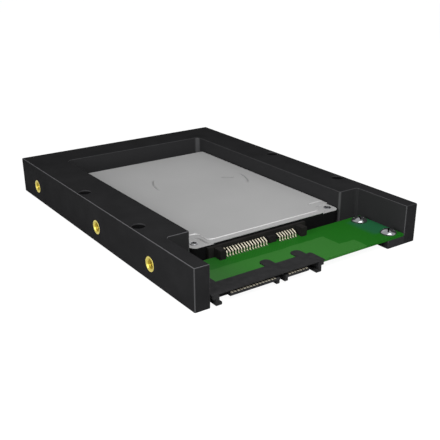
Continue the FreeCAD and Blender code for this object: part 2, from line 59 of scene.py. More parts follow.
MM = 0.001
BODY = "root"
SIDES = ("left", "right")
PLACES = ("front", "middle", "rear")
SOCKET_SHADE = "recess"
RECEPTACLE_CONTACTS = (("receptacle_power_contacts", 15), ("receptacle_signal_contacts", 7))
CONTACT_PITCH = 1.27 * MM
CONTACT_WIDTH = 0.8 * MM
SHARP_ANGLE = math.radians(32)
WHITE = (1.0, 1.0, 1.0, 1.0)
MIX_FIRST, MIX_SECOND, MIX_RESULT = 6, 7, 2  # colour sockets of a mix node


def srgb(red, green, blue):
    """Linear colour of an 8-bit display colour."""
    values = []
    for part in (red, green, blue):
        share = part / 255
        values.append(share / 12.92 if share <= 0.04045 else ((share + 0.055) / 1.055) ** 2.4)
    return (*values, 1.0)


def mount(name):
    """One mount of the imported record."""
    for entry in frame["record"]["mounts"]:
        if entry["name"] == name:
            return entry
    raise RuntimeError("no mount named " + name)


class BracketFinish(bpy.types.PropertyGroup):
    """Colours and gloss of the bracket's finishes."""

    plastic: bpy.props.FloatVectorProperty(
        name="Frame plastic", description="Colour of the frame's moulding",
        subtype="COLOR", size=4, min=0, max=1, default=srgb(44, 44, 45))
    # Painted highlight: the frame's edges get this lighter colour to stand in for light catching them.
    plastic_edge_highlight: bpy.props.FloatVectorProperty(
        name="Frame edges", description="Colour of the frame's rubbed edges",
        subtype="COLOR", size=4, min=0, max=1, default=srgb(106, 106, 108))
    plastic_roughness: bpy.props.FloatProperty(
        name="Frame roughness", description="How dull the frame's moulding is",
        subtype="FACTOR", min=0, max=1, default=0.55)
    plug: bpy.props.FloatVectorProperty(
        name="Plug plastic", description="Colour of the host plug's moulding",
        subtype="COLOR", size=4, min=0, max=1, default=srgb(53, 53, 54))
    receptacle: bpy.props.FloatVectorProperty(
        name="Receptacle plastic",
        description="Colour of the mouldings of the receptacle and the drive's plug",
        subtype="COLOR", size=4, min=0, max=1, default=srgb(44, 43, 42))
    resist: bpy.props.FloatVectorProperty(
        name="Solder resist", description="Colour of the board over bare laminate",
        subtype="COLOR", size=4, min=0, max=1, default=srgb(34, 108, 30))
    resist_copper: bpy.props.FloatVectorProperty(
        name="Resist over copper", description="Colour of the board over its copper areas",
        subtype="COLOR", size=4, min=0, max=1, default=srgb(57, 123, 50))
    # Painted reflection: the board's left end fades towards this greyer colour.
    resist_left_reflection: bpy.props.FloatVectorProperty(
        name="Dull solder resist", description="Colour that the board's left end fades towards",
        subtype="COLOR", size=4, min=0, max=1, default=srgb(74, 96, 72))
    # Painted reflection: the board between its right screws fades towards this bluish colour.
    resist_right_reflection: bpy.props.FloatVectorProperty(
        name="Cool solder resist", description="Colour that the board's right end fades towards",
        subtype="COLOR", size=4, min=0, max=1, default=srgb(44, 92, 88))
    contact: bpy.props.FloatVectorProperty(
        name="Contacts", description="Colour of the plated contacts",
        subtype="COLOR", size=4, min=0, max=1, default=srgb(248, 240, 215))
    # Painted shade: the bores get this darker, browner colour.
    bore: bpy.props.FloatVectorProperty(
        name="Insert bores", description="Colour of the threaded bores of the brass inserts",
        subtype="COLOR", size=4, min=0, max=1, default=srgb(170, 146, 36))
    brass: bpy.props.FloatVectorProperty(
        name="Inserts", description="Colour of the brass inserts",
        subtype="COLOR", size=4, min=0, max=1, default=srgb(210, 194, 86))
    steel: bpy.props.FloatVectorProperty(
        name="Screws", description="Colour of the plated screws",
        subtype="COLOR", size=4, min=0, max=1, default=srgb(140, 141, 144))
    solder: bpy.props.FloatVectorProperty(
        name="Solder", description="Colour of the dull solder at the contacts' feet",
        subtype="COLOR", size=4, min=0, max=1, default=srgb(104, 110, 96))
    cover: bpy.props.FloatVectorProperty(
        name="Drive cover", description="Colour of the drive's metal cover",
        subtype="COLOR", size=4, min=0, max=1, default=srgb(178, 178, 178))
    # Painted highlight: the cover's leaning steps get this lighter colour.
    cover_edge_highlight: bpy.props.FloatVectorProperty(
        name="Cover edges", description="Colour of the bright steps and edges of the drive's cover",
        subtype="COLOR", size=4, min=0, max=1, default=srgb(208, 208, 208))
    casting: bpy.props.FloatVectorProperty(
        name="Drive casting", description="Colour of the drive's coated casting",
        subtype="COLOR", size=4, min=0, max=1, default=srgb(26, 26, 27))


class BracketDetail(bpy.types.PropertyGroup):
    """Sizes of the small parts that are added to the frame."""

    thread_pitch: bpy.props.FloatProperty(
        name="Thread pitch", description="Pitch of the thread in the side inserts",
        unit="LENGTH", default=0.79 * MM)
    thread_depth: bpy.props.FloatProperty(
        name="Thread depth", description="Depth of the thread in the side inserts",
        unit="LENGTH", default=0.34 * MM)
    mouth_radius: bpy.props.FloatProperty(
        name="Insert mouth", description="Radius of the countersunk mouth of the side inserts",
        unit="LENGTH", default=2.3 * MM)
    mouth_depth: bpy.props.FloatProperty(
        name="Insert mouth depth", description="Depth of the countersunk mouth of the side inserts",
        unit="LENGTH", default=0.45 * MM)
    contact_width: bpy.props.FloatProperty(
        name="Contact tail width", description="Width of the receptacle's contacts outside its moulding",
        unit="LENGTH", default=0.52 * MM)
    head_height: bpy.props.FloatProperty(
        name="Board screw height", description="Height of the domed heads on the board",
        unit="LENGTH", default=1.9 * MM)
    cover_screw_radius: bpy.props.FloatProperty(
        name="Cover screw radius", description="Radius of the small screws on the drive's cover",
        unit="LENGTH", default=1.5 * MM)
    ring_radius: bpy.props.FloatProperty(
        name="Cover ring radius", description="Radius of the two faint arcs pressed into the drive's cover",
        unit="LENGTH", default=21 * MM)
    ring_centre: bpy.props.FloatVectorProperty(
        name="Cover ring centre", description="Centre of the two faint arcs pressed into the drive's cover",
        size=2, subtype="XYZ", unit="LENGTH", default=(7.5 * MM, 12.85 * MM))
    mark_line: bpy.props.FloatVectorProperty(
        name="Cover mark line", description="Direction of the mark from the ring's centre, along X and Y",
        size=2, subtype="XYZ", default=(0.81, -0.586))


class BracketStage(bpy.types.PropertyGroup):
    """Camera and floor."""

    azimuth: bpy.props.FloatProperty(
        name="Camera azimuth", description="Turn of the camera about the part",
        subtype="ANGLE", default=math.radians(-35.474))
    elevation: bpy.props.FloatProperty(
        name="Camera elevation", description="Height angle of the camera",
        subtype="ANGLE", default=math.radians(23.23))
    distance: bpy.props.FloatProperty(
        name="Camera distance", description="Distance of the camera from its target",
        unit="LENGTH", default=256.595 * MM)
    target: bpy.props.FloatVectorProperty(
        name="Camera target", description="Point that the camera turns about",
        subtype="XYZ", unit="LENGTH", default=(-19.42 * MM, -49.703 * MM, 8 * MM))
    lens: bpy.props.FloatProperty(
        name="Focal length", description="Focal length in millimetres of a 36 mm sensor",
        default=58.468)
    shift: bpy.props.FloatVectorProperty(
        name="Lens shift", description="Sideways and upward shift of the lens",
        size=2, default=(-0.02912, 0.05343))
    floor_size: bpy.props.FloatProperty(
        name="Floor size", description="Side of the square floor",
        unit="LENGTH", default=6.0)


def finish_settings():
    """Colours and gloss as set in the scene."""
    return bpy.context.scene.bracket_finish


def detail_settings():
    """Small sizes as set in the scene."""
    return bpy.context.scene.bracket_detail


def stage_settings():
    """Camera and floor as set in the scene."""
    return bpy.context.scene.bracket_stage


def connect(tree, value, socket):
    """Link a value or socket to a node's socket, or write a plain number or colour there."""
    if isinstance(value, Value):
        value = value.socket
    if isinstance(value, bpy.types.NodeSocket):
        tree.links.new(value, socket)
    else:
        socket.default_value = value


def node(tree, kind, **inputs):
    """New shader node with its named inputs linked or written."""
    made = tree.nodes.new(kind)
    for name, value in inputs.items():
        connect(tree, value, made.inputs[name.replace("_", " ")])
    return made


def mix_colours(tree, factor, first, second, kind="MIX"):
    """Colour between first and second by a factor, or their product with the kind MULTIPLY."""
    made = tree.nodes.new("ShaderNodeMix")
    made.data_type = "RGBA"
    made.blend_type = kind
    connect(tree, factor, made.inputs["Factor"])
    connect(tree, first, made.inputs[MIX_FIRST])
    connect(tree, second, made.inputs[MIX_SECOND])
    return made.outputs[MIX_RESULT]


def compute(tree, operation, first, second=0.0):
    """One step of arithmetic on values and plain numbers."""
    made = tree.nodes.new("ShaderNodeMath")
    made.operation = operation
    connect(tree, first, made.inputs[0])
    connect(tree, second, made.inputs[1])
    return Value(tree, made.outputs["Value"])


class Value:
    """Number in a shader tree that takes part in arithmetic with others and with plain numbers."""

    def __init__(self, tree, socket):
        self.tree = tree
        self.socket = socket

    def __add__(self, other):
        return compute(self.tree, "ADD", self, other)

    def __sub__(self, other):
        return compute(self.tree, "SUBTRACT", self, other)

    def __rsub__(self, other):
        return compute(self.tree, "SUBTRACT", other, self)

    def __mul__(self, other):
        return compute(self.tree, "MULTIPLY", self, other)

    def __truediv__(self, other):
        return compute(self.tree, "DIVIDE", self, other)

    def __abs__(self):
        return compute(self.tree, "ABSOLUTE", self)

    def root(self):
        """Square root."""
        return compute(self.tree, "SQRT", self)

    def fraction(self):
        """What is left above the whole number below it."""
        return compute(self.tree, "FRACT", self)

    def larger(self, other):
        """The larger of two values."""
        return compute(self.tree, "MAXIMUM", self, other)

    def smaller(self, other):
        """The smaller of two values."""
        return compute(self.tree, "MINIMUM", self, other)

    def spread(self, low, high, to_low=0.0, to_high=1.0):
        """Carried from one range to another and held at its ends."""
        made = node(self.tree, "ShaderNodeMapRange", Value=self, From_Min=low, From_Max=high,
                    To_Min=to_low, To_Max=to_high)
        return Value(self.tree, made.outputs["Result"])

    def fall(self, low, high):
        """One below a range and zero above it."""
        return self.spread(low, high, 1.0, 0.0)

    def band(self, low, high, soft):
        """One between two limits, fading to zero over a soft margin outside them."""
        return self.spread(low - soft, low) * self.fall(high, high + soft)

    def blend(self, first, second):
        """Colour that goes from first to second as this goes from zero to one."""
        return mix_colours(self.tree, self, first, second)


class Finish:
    """Material in the making: one Principled shader, with its constants on the shader's own sockets."""

    def __init__(self, name, colour, roughness, metallic=0.0, specular=0.5):
        self.material = bpy.data.materials.new(name)
        self.material.use_nodes = True
        self.material.diffuse_color = colour
        self.tree = self.material.node_tree
        self.shader = self.tree.nodes["Principled BSDF"]
        self.shader.inputs["Base Color"].default_value = colour
        self.shader.inputs["Roughness"].default_value = roughness
        self.shader.inputs["Metallic"].default_value = metallic
        self.shader.inputs["Specular IOR Level"].default_value = specular

    def link(self, name, value):
        """Link a value or colour to one of the shader's inputs."""
        connect(self.tree, value, self.shader.inputs[name])

    def axes(self, vector):
        """The three components of a vector socket."""
        made = node(self.tree, "ShaderNodeSeparateXYZ", Vector=vector)
        return [Value(self.tree, output) for output in made.outputs]

    def place(self):
        """Where the surface is along X, Y and Z of the part, in metres."""
        return self.axes(object_place(self.tree))

    def leaning(self):
        """How far the surface faces along X, Y and Z, each from zero to one."""
        normal = node(self.tree, "ShaderNodeTexCoord").outputs["Normal"]
        return [abs(part) for part in self.axes(normal)]

    def noise(self, size, detail=2.0, stretch=None):
        """Noise whose features are about as large as size, in metres, on Object coordinates."""
        place = object_place(self.tree)
        if stretch:
            scaled = node(self.tree, "ShaderNodeVectorMath", Vector=place)
            scaled.operation = "MULTIPLY"
            scaled.inputs[1].default_value = stretch
            place = scaled.outputs["Vector"]
        made = node(self.tree, "ShaderNodeTexNoise", Vector=place, Scale=1 / size, Detail=detail)
        return Value(self.tree, made.outputs["Fac"])

    def bump(self, height, distance):
        """Bump from a height from zero to one, its full depth given in metres."""
        made = node(self.tree, "ShaderNodeBump", Height=height, Distance=distance, Strength=1.0)
        self.link("Normal", made.outputs["Normal"])


def object_place(tree):
    """Object coordinates, in metres."""
    return node(tree, "ShaderNodeTexCoord").outputs["Object"]


def tint(colour, share):
    """Colour made lighter or darker by a share."""
    return (*[min(1.0, part * share) for part in tuple(colour)[:3]], 1.0)


def mottled(value, colour, low, high):
    """Colour that varies with a noise value between two shares of itself."""
    return value.spread(0.3, 0.7).blend(tint(colour, low), tint(colour, high))


def paint(names, material):
    """Give CAD nodes one material."""
    for name in names:
        mesh = nodes[name].data
        mesh.materials.clear()
        mesh.materials.append(material)


def add_piece(name, points, faces, material):
    """Mesh piece in the part's own frame, smooth between its sharp edges, riding on the part."""
    mesh = bpy.data.meshes.new(name)
    mesh.from_pydata(np.asarray(points, float).tolist(), [], [list(map(int, face)) for face in faces])
    mesh.polygons.foreach_set("use_smooth", [True] * len(mesh.polygons))
    mesh.materials.append(material)
    mesh.update()
    mesh.set_sharp_from_angle(angle=SHARP_ANGLE)
    piece = bpy.data.objects.new(name, mesh)
    bpy.context.scene.collection.objects.link(piece)
    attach(piece, BODY)
    return piece


def grid_faces(rows, columns, wrap_rows=False, wrap_columns=False):
    """Quads of a grid of points stored row by row, closed on itself where asked."""
    last_row = rows if wrap_rows else rows - 1
    last_column = columns if wrap_columns else columns - 1
    row, column = np.meshgrid(np.arange(last_row), np.arange(last_column), indexing="ij")
    next_row = (row + 1) % rows
    next_column = (column + 1) % columns
    quads = np.stack([
        row * columns + column,
        row * columns + next_column,
        next_row * columns + next_column,
        next_row * columns + column,
    ], axis=-1)
    return quads.reshape(-1, 4)


def tube_faces(rows, columns):
    """Faces of a grid of points that is closed round its columns, with a flat face at both ends."""
    faces = grid_faces(rows, columns, wrap_columns=True).tolist()
    faces.append(list(range(columns - 1, -1, -1)))
    faces.append(list(range(columns * (rows - 1), columns * rows)))
    return faces


def turned(profile, segments):
    """Closed surface of a profile of (radius, height) pairs, lowest first, turned about Z: radius times
    (cos, sin) of the angle. Gives its grid of points and its faces with both flat ends."""
    profile = np.asarray(profile, float)
    angle = np.linspace(0, 2 * np.pi, segments, endpoint=False)
    x = np.outer(profile[:, 0], np.cos(angle))
    y = np.outer(profile[:, 0], np.sin(angle))
    z = np.repeat(profile[:, 1][:, None], segments, axis=1)
    return np.stack([x, y, z], axis=-1), tube_faces(len(profile), segments)


def smooth_step(value):
    """Value held between zero and one, with a smooth start and end."""
    share = np.clip(value, 0, 1)
    return share * share * (3 - 2 * share)


class Parts:
    """Collects closed surfaces into one list of points and faces, with a share per point that marks sockets for
    painted shade.
    """

    def __init__(self):
        self.points = []
        self.faces = []
        self.recess = []
        self.count = 0

    def add(self, points, faces, recess=0.0):
        """Take up one closed surface."""
        points = np.asarray(points, float).reshape(-1, 3)
        self.faces += [[int(corner) + self.count for corner in face] for face in faces]
        self.points.append(points)
        self.recess.append(np.broadcast_to(recess, len(points)))
        self.count += len(points)

    def piece(self, name, material, slot):
        """One piece of all that was taken up."""
        piece = add_piece(name, np.concatenate(self.points), self.faces, material)
        marks = piece.data.attributes.new(SOCKET_SHADE, "FLOAT", "POINT")
        marks.data.foreach_set("value", np.concatenate(self.recess).astype(np.float32))
        return piece


def frame_plastic():
    """Fine-grained black moulding, with painted light that makes its inner walls a little lighter and painted
    shade on the walls of its holes.
    A painted highlight makes its edges lighter still: the top's chamfers, the outer corners, the rounded
    corners of the opening and rails, and the rims of the holes."""
    settings = finish_settings()
    finish = Finish("frame_plastic_finish", settings.plastic, settings.plastic_roughness, specular=0.0)
    side, _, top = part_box("bracket_frame")[1]
    bay = side - 6 * MM
    opening = 37 * MM
    lip = 2.5 * MM
    back_bar = 69 * MM
    x, y, height = finish.place()
    along_x, along_y, along_z = finish.leaning()
    away = abs(x)
    # Strength of the painted highlight along the top edges: full at the left side, fading from the front left
    # to the back right, and weaker on the right rail outside the bay.
    highlight_strength = x.fall(0.5 * MM - side, 0.7 * MM - side).larger((x + y).spread(-90 * MM, 0.0, 0.9, 0.35))
    highlight_strength *= x.spread(bay + 0.3 * MM, bay + 0.6 * MM, 1.0, 0.35)
    top_edges = along_z.band(0.35, 0.9, 0.05) * height.spread(top - 0.2 * MM, top - 0.12 * MM) * highlight_strength
    inner = away.fall(opening - 0.1 * MM, opening + 0.1 * MM).larger(
        away.band(bay - 0.05 * MM, bay + 0.26 * MM, 0.01 * MM))
    inner *= height.spread(lip, lip + 0.2 * MM)
    inner *= x.spread(-1 * MM, 1 * MM).larger(y.fall(40 * MM, 45 * MM))
    outer = away.spread(side - 0.6 * MM, side - 0.5 * MM)
    upright = inner.larger(outer) * along_x.smaller(along_y).spread(0.12, 0.45)
    hole = away.band(bay + 0.27 * MM, side - 0.62 * MM, 0.01 * MM)
    hole *= along_z.fall(0.1, 0.3) * abs(y).fall(back_bar, back_bar + 1 * MM)
    rim = hole * height.spread(top - 0.6 * MM, top - 0.2 * MM, 0.0, 0.5)
    # Painted highlight: the top chamfers, the upright corners and the hole rims are lightened.
    edge_highlight = top_edges.larger(upright * 0.5).larger(rim)
    # Painted light: the upright walls inside the bay get a lighter copy of the moulding's colour.
    walls = away.fall(bay + 0.1 * MM, bay + 0.25 * MM) * along_z.fall(0.3, 0.5)
    body = mottled(finish.noise(9 * MM, detail=3), settings.plastic, 0.9, 1.1)
    body = walls.blend(body, tint(settings.plastic, 1.5))
    # Painted shade: the walls of the holes get a darker copy of the moulding's colour.
    body = hole.blend(body, tint(settings.plastic, 0.45))
    finish.link("Base Color", edge_highlight.blend(body, settings.plastic_edge_highlight))
    grain = finish.noise(0.16 * MM)
    finish.link("Roughness", grain.spread(
        0.3, 0.7, settings.plastic_roughness - 0.05, settings.plastic_roughness + 0.06))
    finish.bump(grain, 0.006 * MM)
    return finish.material


def connector_plastic(name, colour):
    """Smooth moulding of a connector, faintly mottled."""
    finish = Finish(name, colour, 0.45, specular=0.0)
    finish.link("Base Color", mottled(finish.noise(2.5 * MM, detail=4), colour, 0.85, 1.15))
    finish.bump(finish.noise(0.12 * MM), 0.004 * MM)
    return finish.material


def plug_plastic():
    """Dark grey moulding of the host plug."""
    return connector_plastic("plug_plastic_finish", finish_settings().plug)


def receptacle_plastic():
    """Nearly black moulding of the receptacle and the drive's plug."""
    return connector_plastic("receptacle_plastic_finish", finish_settings().receptacle)


def board_laminate():
    """Solder resist over bare laminate and, lighter, over two joined copper areas, with slanted traces from
    one connector's contacts to the other's, a painted reflection that greys its left end, a painted bluish
    reflection between the right screws, and woven glass under it all."""
    settings = finish_settings()
    finish = Finish("board_laminate_finish", settings.resist, 0.38, specular=0.005)
    low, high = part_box("circuit_board")
    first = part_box("receptacle_power_contacts")[0].x
    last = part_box("receptacle_signal_contacts")[1].x
    x, y, _ = finish.place()
    behind = high.y - y
    across = x - low.x
    strip = (behind - 8.15 * MM).smaller(61.8 * MM - across)
    foot = (behind - 17.1 * MM).smaller(69.3 * MM - across)
    wander = finish.noise(5 * MM, detail=1).spread(0.3, 0.7, -0.25 * MM, 0.25 * MM)
    copper = (strip.larger(foot) + wander).spread(-0.12 * MM, 0.12 * MM)
    slant = x + behind * 0.95
    wave = abs((slant / CONTACT_PITCH).fraction() - 0.5)
    traces = wave.fall(0.17, 0.22) * behind.band(3.2 * MM, 16.5 * MM, 0.2 * MM)
    traces *= slant.band(first + 2 * MM, last + 3 * MM, 0.1 * MM)
    raised = copper.larger(traces * 0.12)
    base = raised.blend(settings.resist, settings.resist_copper)
    # Painted reflection that greys the board's left end.
    base = across.spread(5 * MM, 22 * MM, 0.35, 0.0).blend(base, settings.resist_left_reflection)
    # Painted bluish reflection between the right screws.
    right_reflection = across.spread(78 * MM, 81 * MM, 0.0, 0.45) * behind.band(4 * MM, 17 * MM, 2 * MM)
    base = right_reflection.blend(base, settings.resist_right_reflection)
    speckle = finish.noise(0.5 * MM, detail=3)
    shade = speckle.spread(0.25, 0.75).blend((0.9, 0.9, 0.9, 1.0), WHITE)
    finish.link("Base Color", mix_colours(finish.tree, 1.0, base, shade, "MULTIPLY"))
    weave = node(finish.tree, "ShaderNodeTexWave", Vector=object_place(finish.tree), Scale=1 / (3 * MM),
                 Distortion=0.5)
    finish.bump(Value(finish.tree, weave.outputs["Fac"]) * 0.1 + raised, 0.02 * MM)
    finish.link("Roughness", speckle.spread(0.3, 0.7, 0.34, 0.44))
    return finish.material


def contact_metal():
    """Pale plated contacts, slightly dulled in patches, with painted shade on the sides that face along X."""
    settings = finish_settings()
    finish = Finish("contact_metal_finish", settings.contact, 0.32, metallic=0.12)
    patch = finish.noise(0.7 * MM)
    plated = patch.spread(0.35, 0.7).blend(tint(settings.contact, 1.05), tint(settings.contact, 0.85))
    # Painted shade: the sides that face along X get a nearly black copy of the contact colour.
    side_shade = finish.leaning()[0].spread(0.6, 0.8)
    finish.link("Base Color", side_shade.blend(plated, tint(settings.contact, 0.12)))
    finish.link("Roughness", patch.spread(0.3, 0.7, 0.24, 0.4))
    return finish.material


def insert_brass():
    """Turned brass with fine tool rings about the insert's axis, with painted shade in a darker, browner colour
    down its threaded bore.
    """
    settings = finish_settings()
    finish = Finish("insert_brass_finish", settings.brass, 0.3, metallic=0.6)
    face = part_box("insert_right_front")[1].x
    # Painted shade down the threaded bore.
    bore = abs(finish.place()[0]).fall(face - 0.6 * MM, face - 0.2 * MM)
    outside = mottled(finish.noise(0.4 * MM, detail=3), settings.brass, 0.82, 1.12)
    finish.link("Base Color", bore.blend(outside, settings.bore))
    finish.bump(finish.noise(0.3 * MM, stretch=(6.0, 1.0, 1.0)), 0.01 * MM)
    return finish.material


def screw_steel():
    """Plated steel with faint turning marks and painted shade in the sockets, which the meshes' own attribute
    marks.
    """
    settings = finish_settings()
    finish = Finish("screw_steel_finish", settings.steel, 0.12, metallic=0.85)
    marks = node(finish.tree, "ShaderNodeAttribute")
    marks.attribute_name = SOCKET_SHADE
    recess = Value(finish.tree, marks.outputs["Fac"])
    # Painted shade: the sockets get a nearly black copy of the steel colour.
    finish.link("Base Color", recess.blend(settings.steel, tint(settings.steel, 0.05)))
    fine = finish.noise(0.5 * MM, detail=3)
    finish.link("Roughness", fine.spread(0.3, 0.7, 0.08, 0.16))
    finish.bump(fine, 0.004 * MM)
    return finish.material


def solder_metal():
    """Dull solder with a slightly uneven skin."""
    settings = finish_settings()
    finish = Finish("solder_metal_finish", settings.solder, 0.4, metallic=0.8)
    skin = finish.noise(0.3 * MM)
    finish.link("Base Color", mottled(skin, settings.solder, 0.8, 1.15))
    finish.bump(skin, 0.01 * MM)
    return finish.material


def cover_metal():
    """Satin metal of the drive's cover with fine grain. Its leaning steps carry a painted highlight, and its
    outer walls are black below their upper edge. Two short arcs of one ring, which follow the distance from its
    centre, and a short mark are pressed into it, with painted shade in them."""
    settings = finish_settings()
    detail = detail_settings()
    finish = Finish("cover_metal_finish", settings.cover, 0.5, specular=0.02)
    low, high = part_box("drive_cover")
    radius = detail.ring_radius
    skin = 0.06 * MM
    x, y, height = finish.place()
    along_z = finish.leaning()[2]
    above = height - low.z
    step = along_z.fall(0.9, 0.98) * above.spread(0.5 * MM, 0.55 * MM)
    outline = abs(x).spread(high.x - 2 * skin, high.x - skin)
    outline = outline.larger(y.fall(low.y + skin, low.y + 2 * skin))
    outline = outline.larger(y.spread(high.y - 2 * skin, high.y - skin))
    # The outer walls below the upper edge are given the casting's black.
    black_walls = above.fall(0.3 * MM, 0.34 * MM).larger(outline * above.fall(0.78 * MM, 0.82 * MM))
    black_walls *= along_z.fall(0.4, 0.5)
    from_x = x - detail.ring_centre[0]
    from_y = y - detail.ring_centre[1]
    reach = (from_x * from_x + from_y * from_y).root()
    line_x, line_y = detail.mark_line
    along = from_x * line_x + from_y * line_y
    across = from_y * line_x - from_x * line_y
    ring = reach.band(radius - 0.1 * MM, radius + 0.1 * MM, 0.4 * MM)
    ring *= abs(along).spread(0.78 * radius, 0.9 * radius)
    ring *= (along * across).spread(-50 * MM ** 2, 30 * MM ** 2)
    mark = along.band(9.4 * MM, 14.4 * MM, 0.3 * MM) * across.band(5.8 * MM, 6.1 * MM, 0.3 * MM)
    pressed = ring.larger(mark)
    body = mottled(finish.noise(26 * MM), settings.cover, 0.97, 1.03)
    # Painted shade in the pressed arcs and mark.
    body = (pressed * 0.3).blend(body, tint(settings.cover, 0.5))
    # Painted highlight on the leaning steps.
    body = step.blend(body, settings.cover_edge_highlight)
    finish.link("Base Color", black_walls.blend(body, settings.casting))
    finish.link("Metallic", step * (1.0 - black_walls) * 0.4)
    grain = finish.noise(0.25 * MM)
    finish.link("Roughness", grain.spread(0.3, 0.7, 0.46, 0.55))
    finish.bump(grain * 0.02 + pressed * -3.4, 0.1 * MM)
    return finish.material


def casting_black():
    """Black coat on the drive's cast base."""
    settings = finish_settings()
    finish = Finish("casting_black_finish", settings.casting, 0.5, specular=0.0)
    grain = finish.noise(0.35 * MM, detail=3)
    finish.link("Base Color", mottled(grain, settings.casting, 0.8, 1.2))
    finish.bump(grain, 0.01 * MM)
    return finish.material


def made_material(maker):
    """A finish that is made once and then found again by its maker's name."""
    return bpy.data.materials.get(maker.__name__ + "_finish") or maker()


class BRACKET_OT_frame(bpy.types.Operator):
    """Finish the moulded frame"""

    bl_idname = "bracket.frame"
    bl_label = "Frame"

    def execute(self, context):
        material = made_material(frame_plastic)
        paint(["bracket_frame"], material)
        return {"FINISHED"}


class BRACKET_OT_inserts(bpy.types.Operator):
    """Make the brass inserts with their countersunk mouths and threads"""

    bl_idname = "bracket.inserts"
    bl_label = "Inserts"

    def execute(self, context):
        material = made_material(insert_brass)
        for side in SIDES:
            for place in PLACES:
                self.insert(side, place, material)
        return {"FINISHED"}

    def insert(self, side, place, material):
        """Closed ring on the insert's own axis: a profile of (depth, radius) from the outer face through the
        mouth and the bore and back along the outside, carried round. In the bore the radius is less by the
        thread depth times a triangle wave of (depth over the pitch plus the turn)."""
        detail = detail_settings()
        name = "insert_%s_%s" % (side, place)
        hole = mount("side_%s_%s" % (side, place))
        low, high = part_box(name)
        outward = 1.0 if side == "right" else -1.0
        face = high.x if side == "right" else low.x
        length = high.x - low.x
        radius = (high.z - low.z) / 2
        bore = hole["dims"]["r_mm"] * MM
        chamfer = 0.08 * MM
        run_out = 0.3 * detail.thread_pitch
        rows = 73
        columns = 64
        threaded = np.linspace(detail.mouth_depth, length, rows)
        depth = np.concatenate([[chamfer, 0, 0], threaded, [length]])
        mouth = [radius, radius - chamfer, detail.mouth_radius]
        base = np.concatenate([mouth, np.full(rows, bore), [radius]])
        angle = np.linspace(0, 2 * np.pi, columns, endpoint=False)[None, :]
        phase = (depth[:, None] / detail.thread_pitch + angle / (2 * np.pi)) % 1.0
        ends = np.minimum(depth - detail.mouth_depth, length - depth) / run_out
        ends = np.clip(ends, 0, 1) * (base == bore)
        radii = base[:, None] - detail.thread_depth * (1 - np.abs(2 * phase - 1)) * ends[:, None]
        x = np.repeat((face - outward * depth)[:, None], columns, axis=1)
        y = hole["pos_m"][1] + radii * np.cos(angle)
        z = hole["pos_m"][2] + radii * np.sin(angle) * outward
        points = np.stack([x, y, z], axis=-1).reshape(-1, 3)
        faces = grid_faces(len(depth), columns, wrap_rows=True, wrap_columns=True)
        piece = add_piece("brass_" + name, points, faces, material)
        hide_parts(name)


def domed_head(parts, centre, radius, height, arm, width, depth, turn):
    """Domed head with a cross recess as a height field on a square grid bent to a disc: the height is a
    circular arc over the radius, less the recess depth where |x| or |y| is inside the cross arms."""
    resolution = 81
    recess_wall = 0.012
    square_core = 0.55
    tiny = 1e-9
    edge = width / radius
    arm_share = arm / radius
    crisp = np.array([-arm_share, -edge, edge, arm_share])
    steps = np.linspace(-1, 1, resolution)
    lines = np.unique(np.concatenate([steps, crisp - recess_wall, crisp + recess_wall]))
    s, t = np.meshgrid(lines, lines, indexing="ij")
    square = np.maximum(np.abs(s), np.abs(t))
    length = np.hypot(s, t)
    fix = np.where(length > tiny, square / np.maximum(length, tiny), 1.0)
    scale = 1 + (fix - 1) * smooth_step((square - square_core) / (1 - square_core))
    x = s * scale
    y = t * scale
    reach = np.clip(np.hypot(x, y), 0, 1)
    rim = 0.3 * height
    rise = height - rim
    ball = (radius ** 2 + rise ** 2) / (2 * rise)
    z = rim + np.sqrt(np.maximum(ball ** 2 - (reach * radius) ** 2, 0)) - (ball - rise)
    inside_x = (np.abs(s) < arm_share) & (np.abs(t) < edge)
    inside_y = (np.abs(t) < arm_share) & (np.abs(s) < edge)
    inside = inside_x | inside_y
    slope = 1 - 0.5 * np.clip(square / arm_share, 0, 1)
    z = np.where(inside, height - depth * slope, z)
    cos_turn, sin_turn = math.cos(turn), math.sin(turn)
    px = (x * cos_turn - y * sin_turn) * radius
    py = (x * sin_turn + y * cos_turn) * radius
    top = np.stack([px, py, z], axis=-1).reshape(-1, 3)
    count = len(lines)
    order = np.arange(count * count).reshape(count, count)
    ring = np.concatenate([order[:-1, 0], order[-1, :-1], order[:0:-1, -1], order[0, :0:-1]])
    low_ring = count * count + np.arange(len(ring))
    faces = grid_faces(count, count)[:, ::-1].tolist()
    faces += np.stack([low_ring, np.roll(low_ring, -1), np.roll(ring, -1), ring], axis=-1).tolist()
    faces.append(low_ring[::-1].tolist())
    points = np.concatenate([top, top[ring] * (1, 1, 0)])
    # The cross recess is marked for painted shade.
    parts.add(points + np.array(centre), faces, np.concatenate([inside.reshape(-1), np.zeros(len(ring))]))


def contact_row(low, high, count):
    """X of each contact of a row whose outer contacts touch the ends of a box."""
    return np.linspace(low.x + CONTACT_WIDTH / 2, high.x - CONTACT_WIDTH / 2, count)


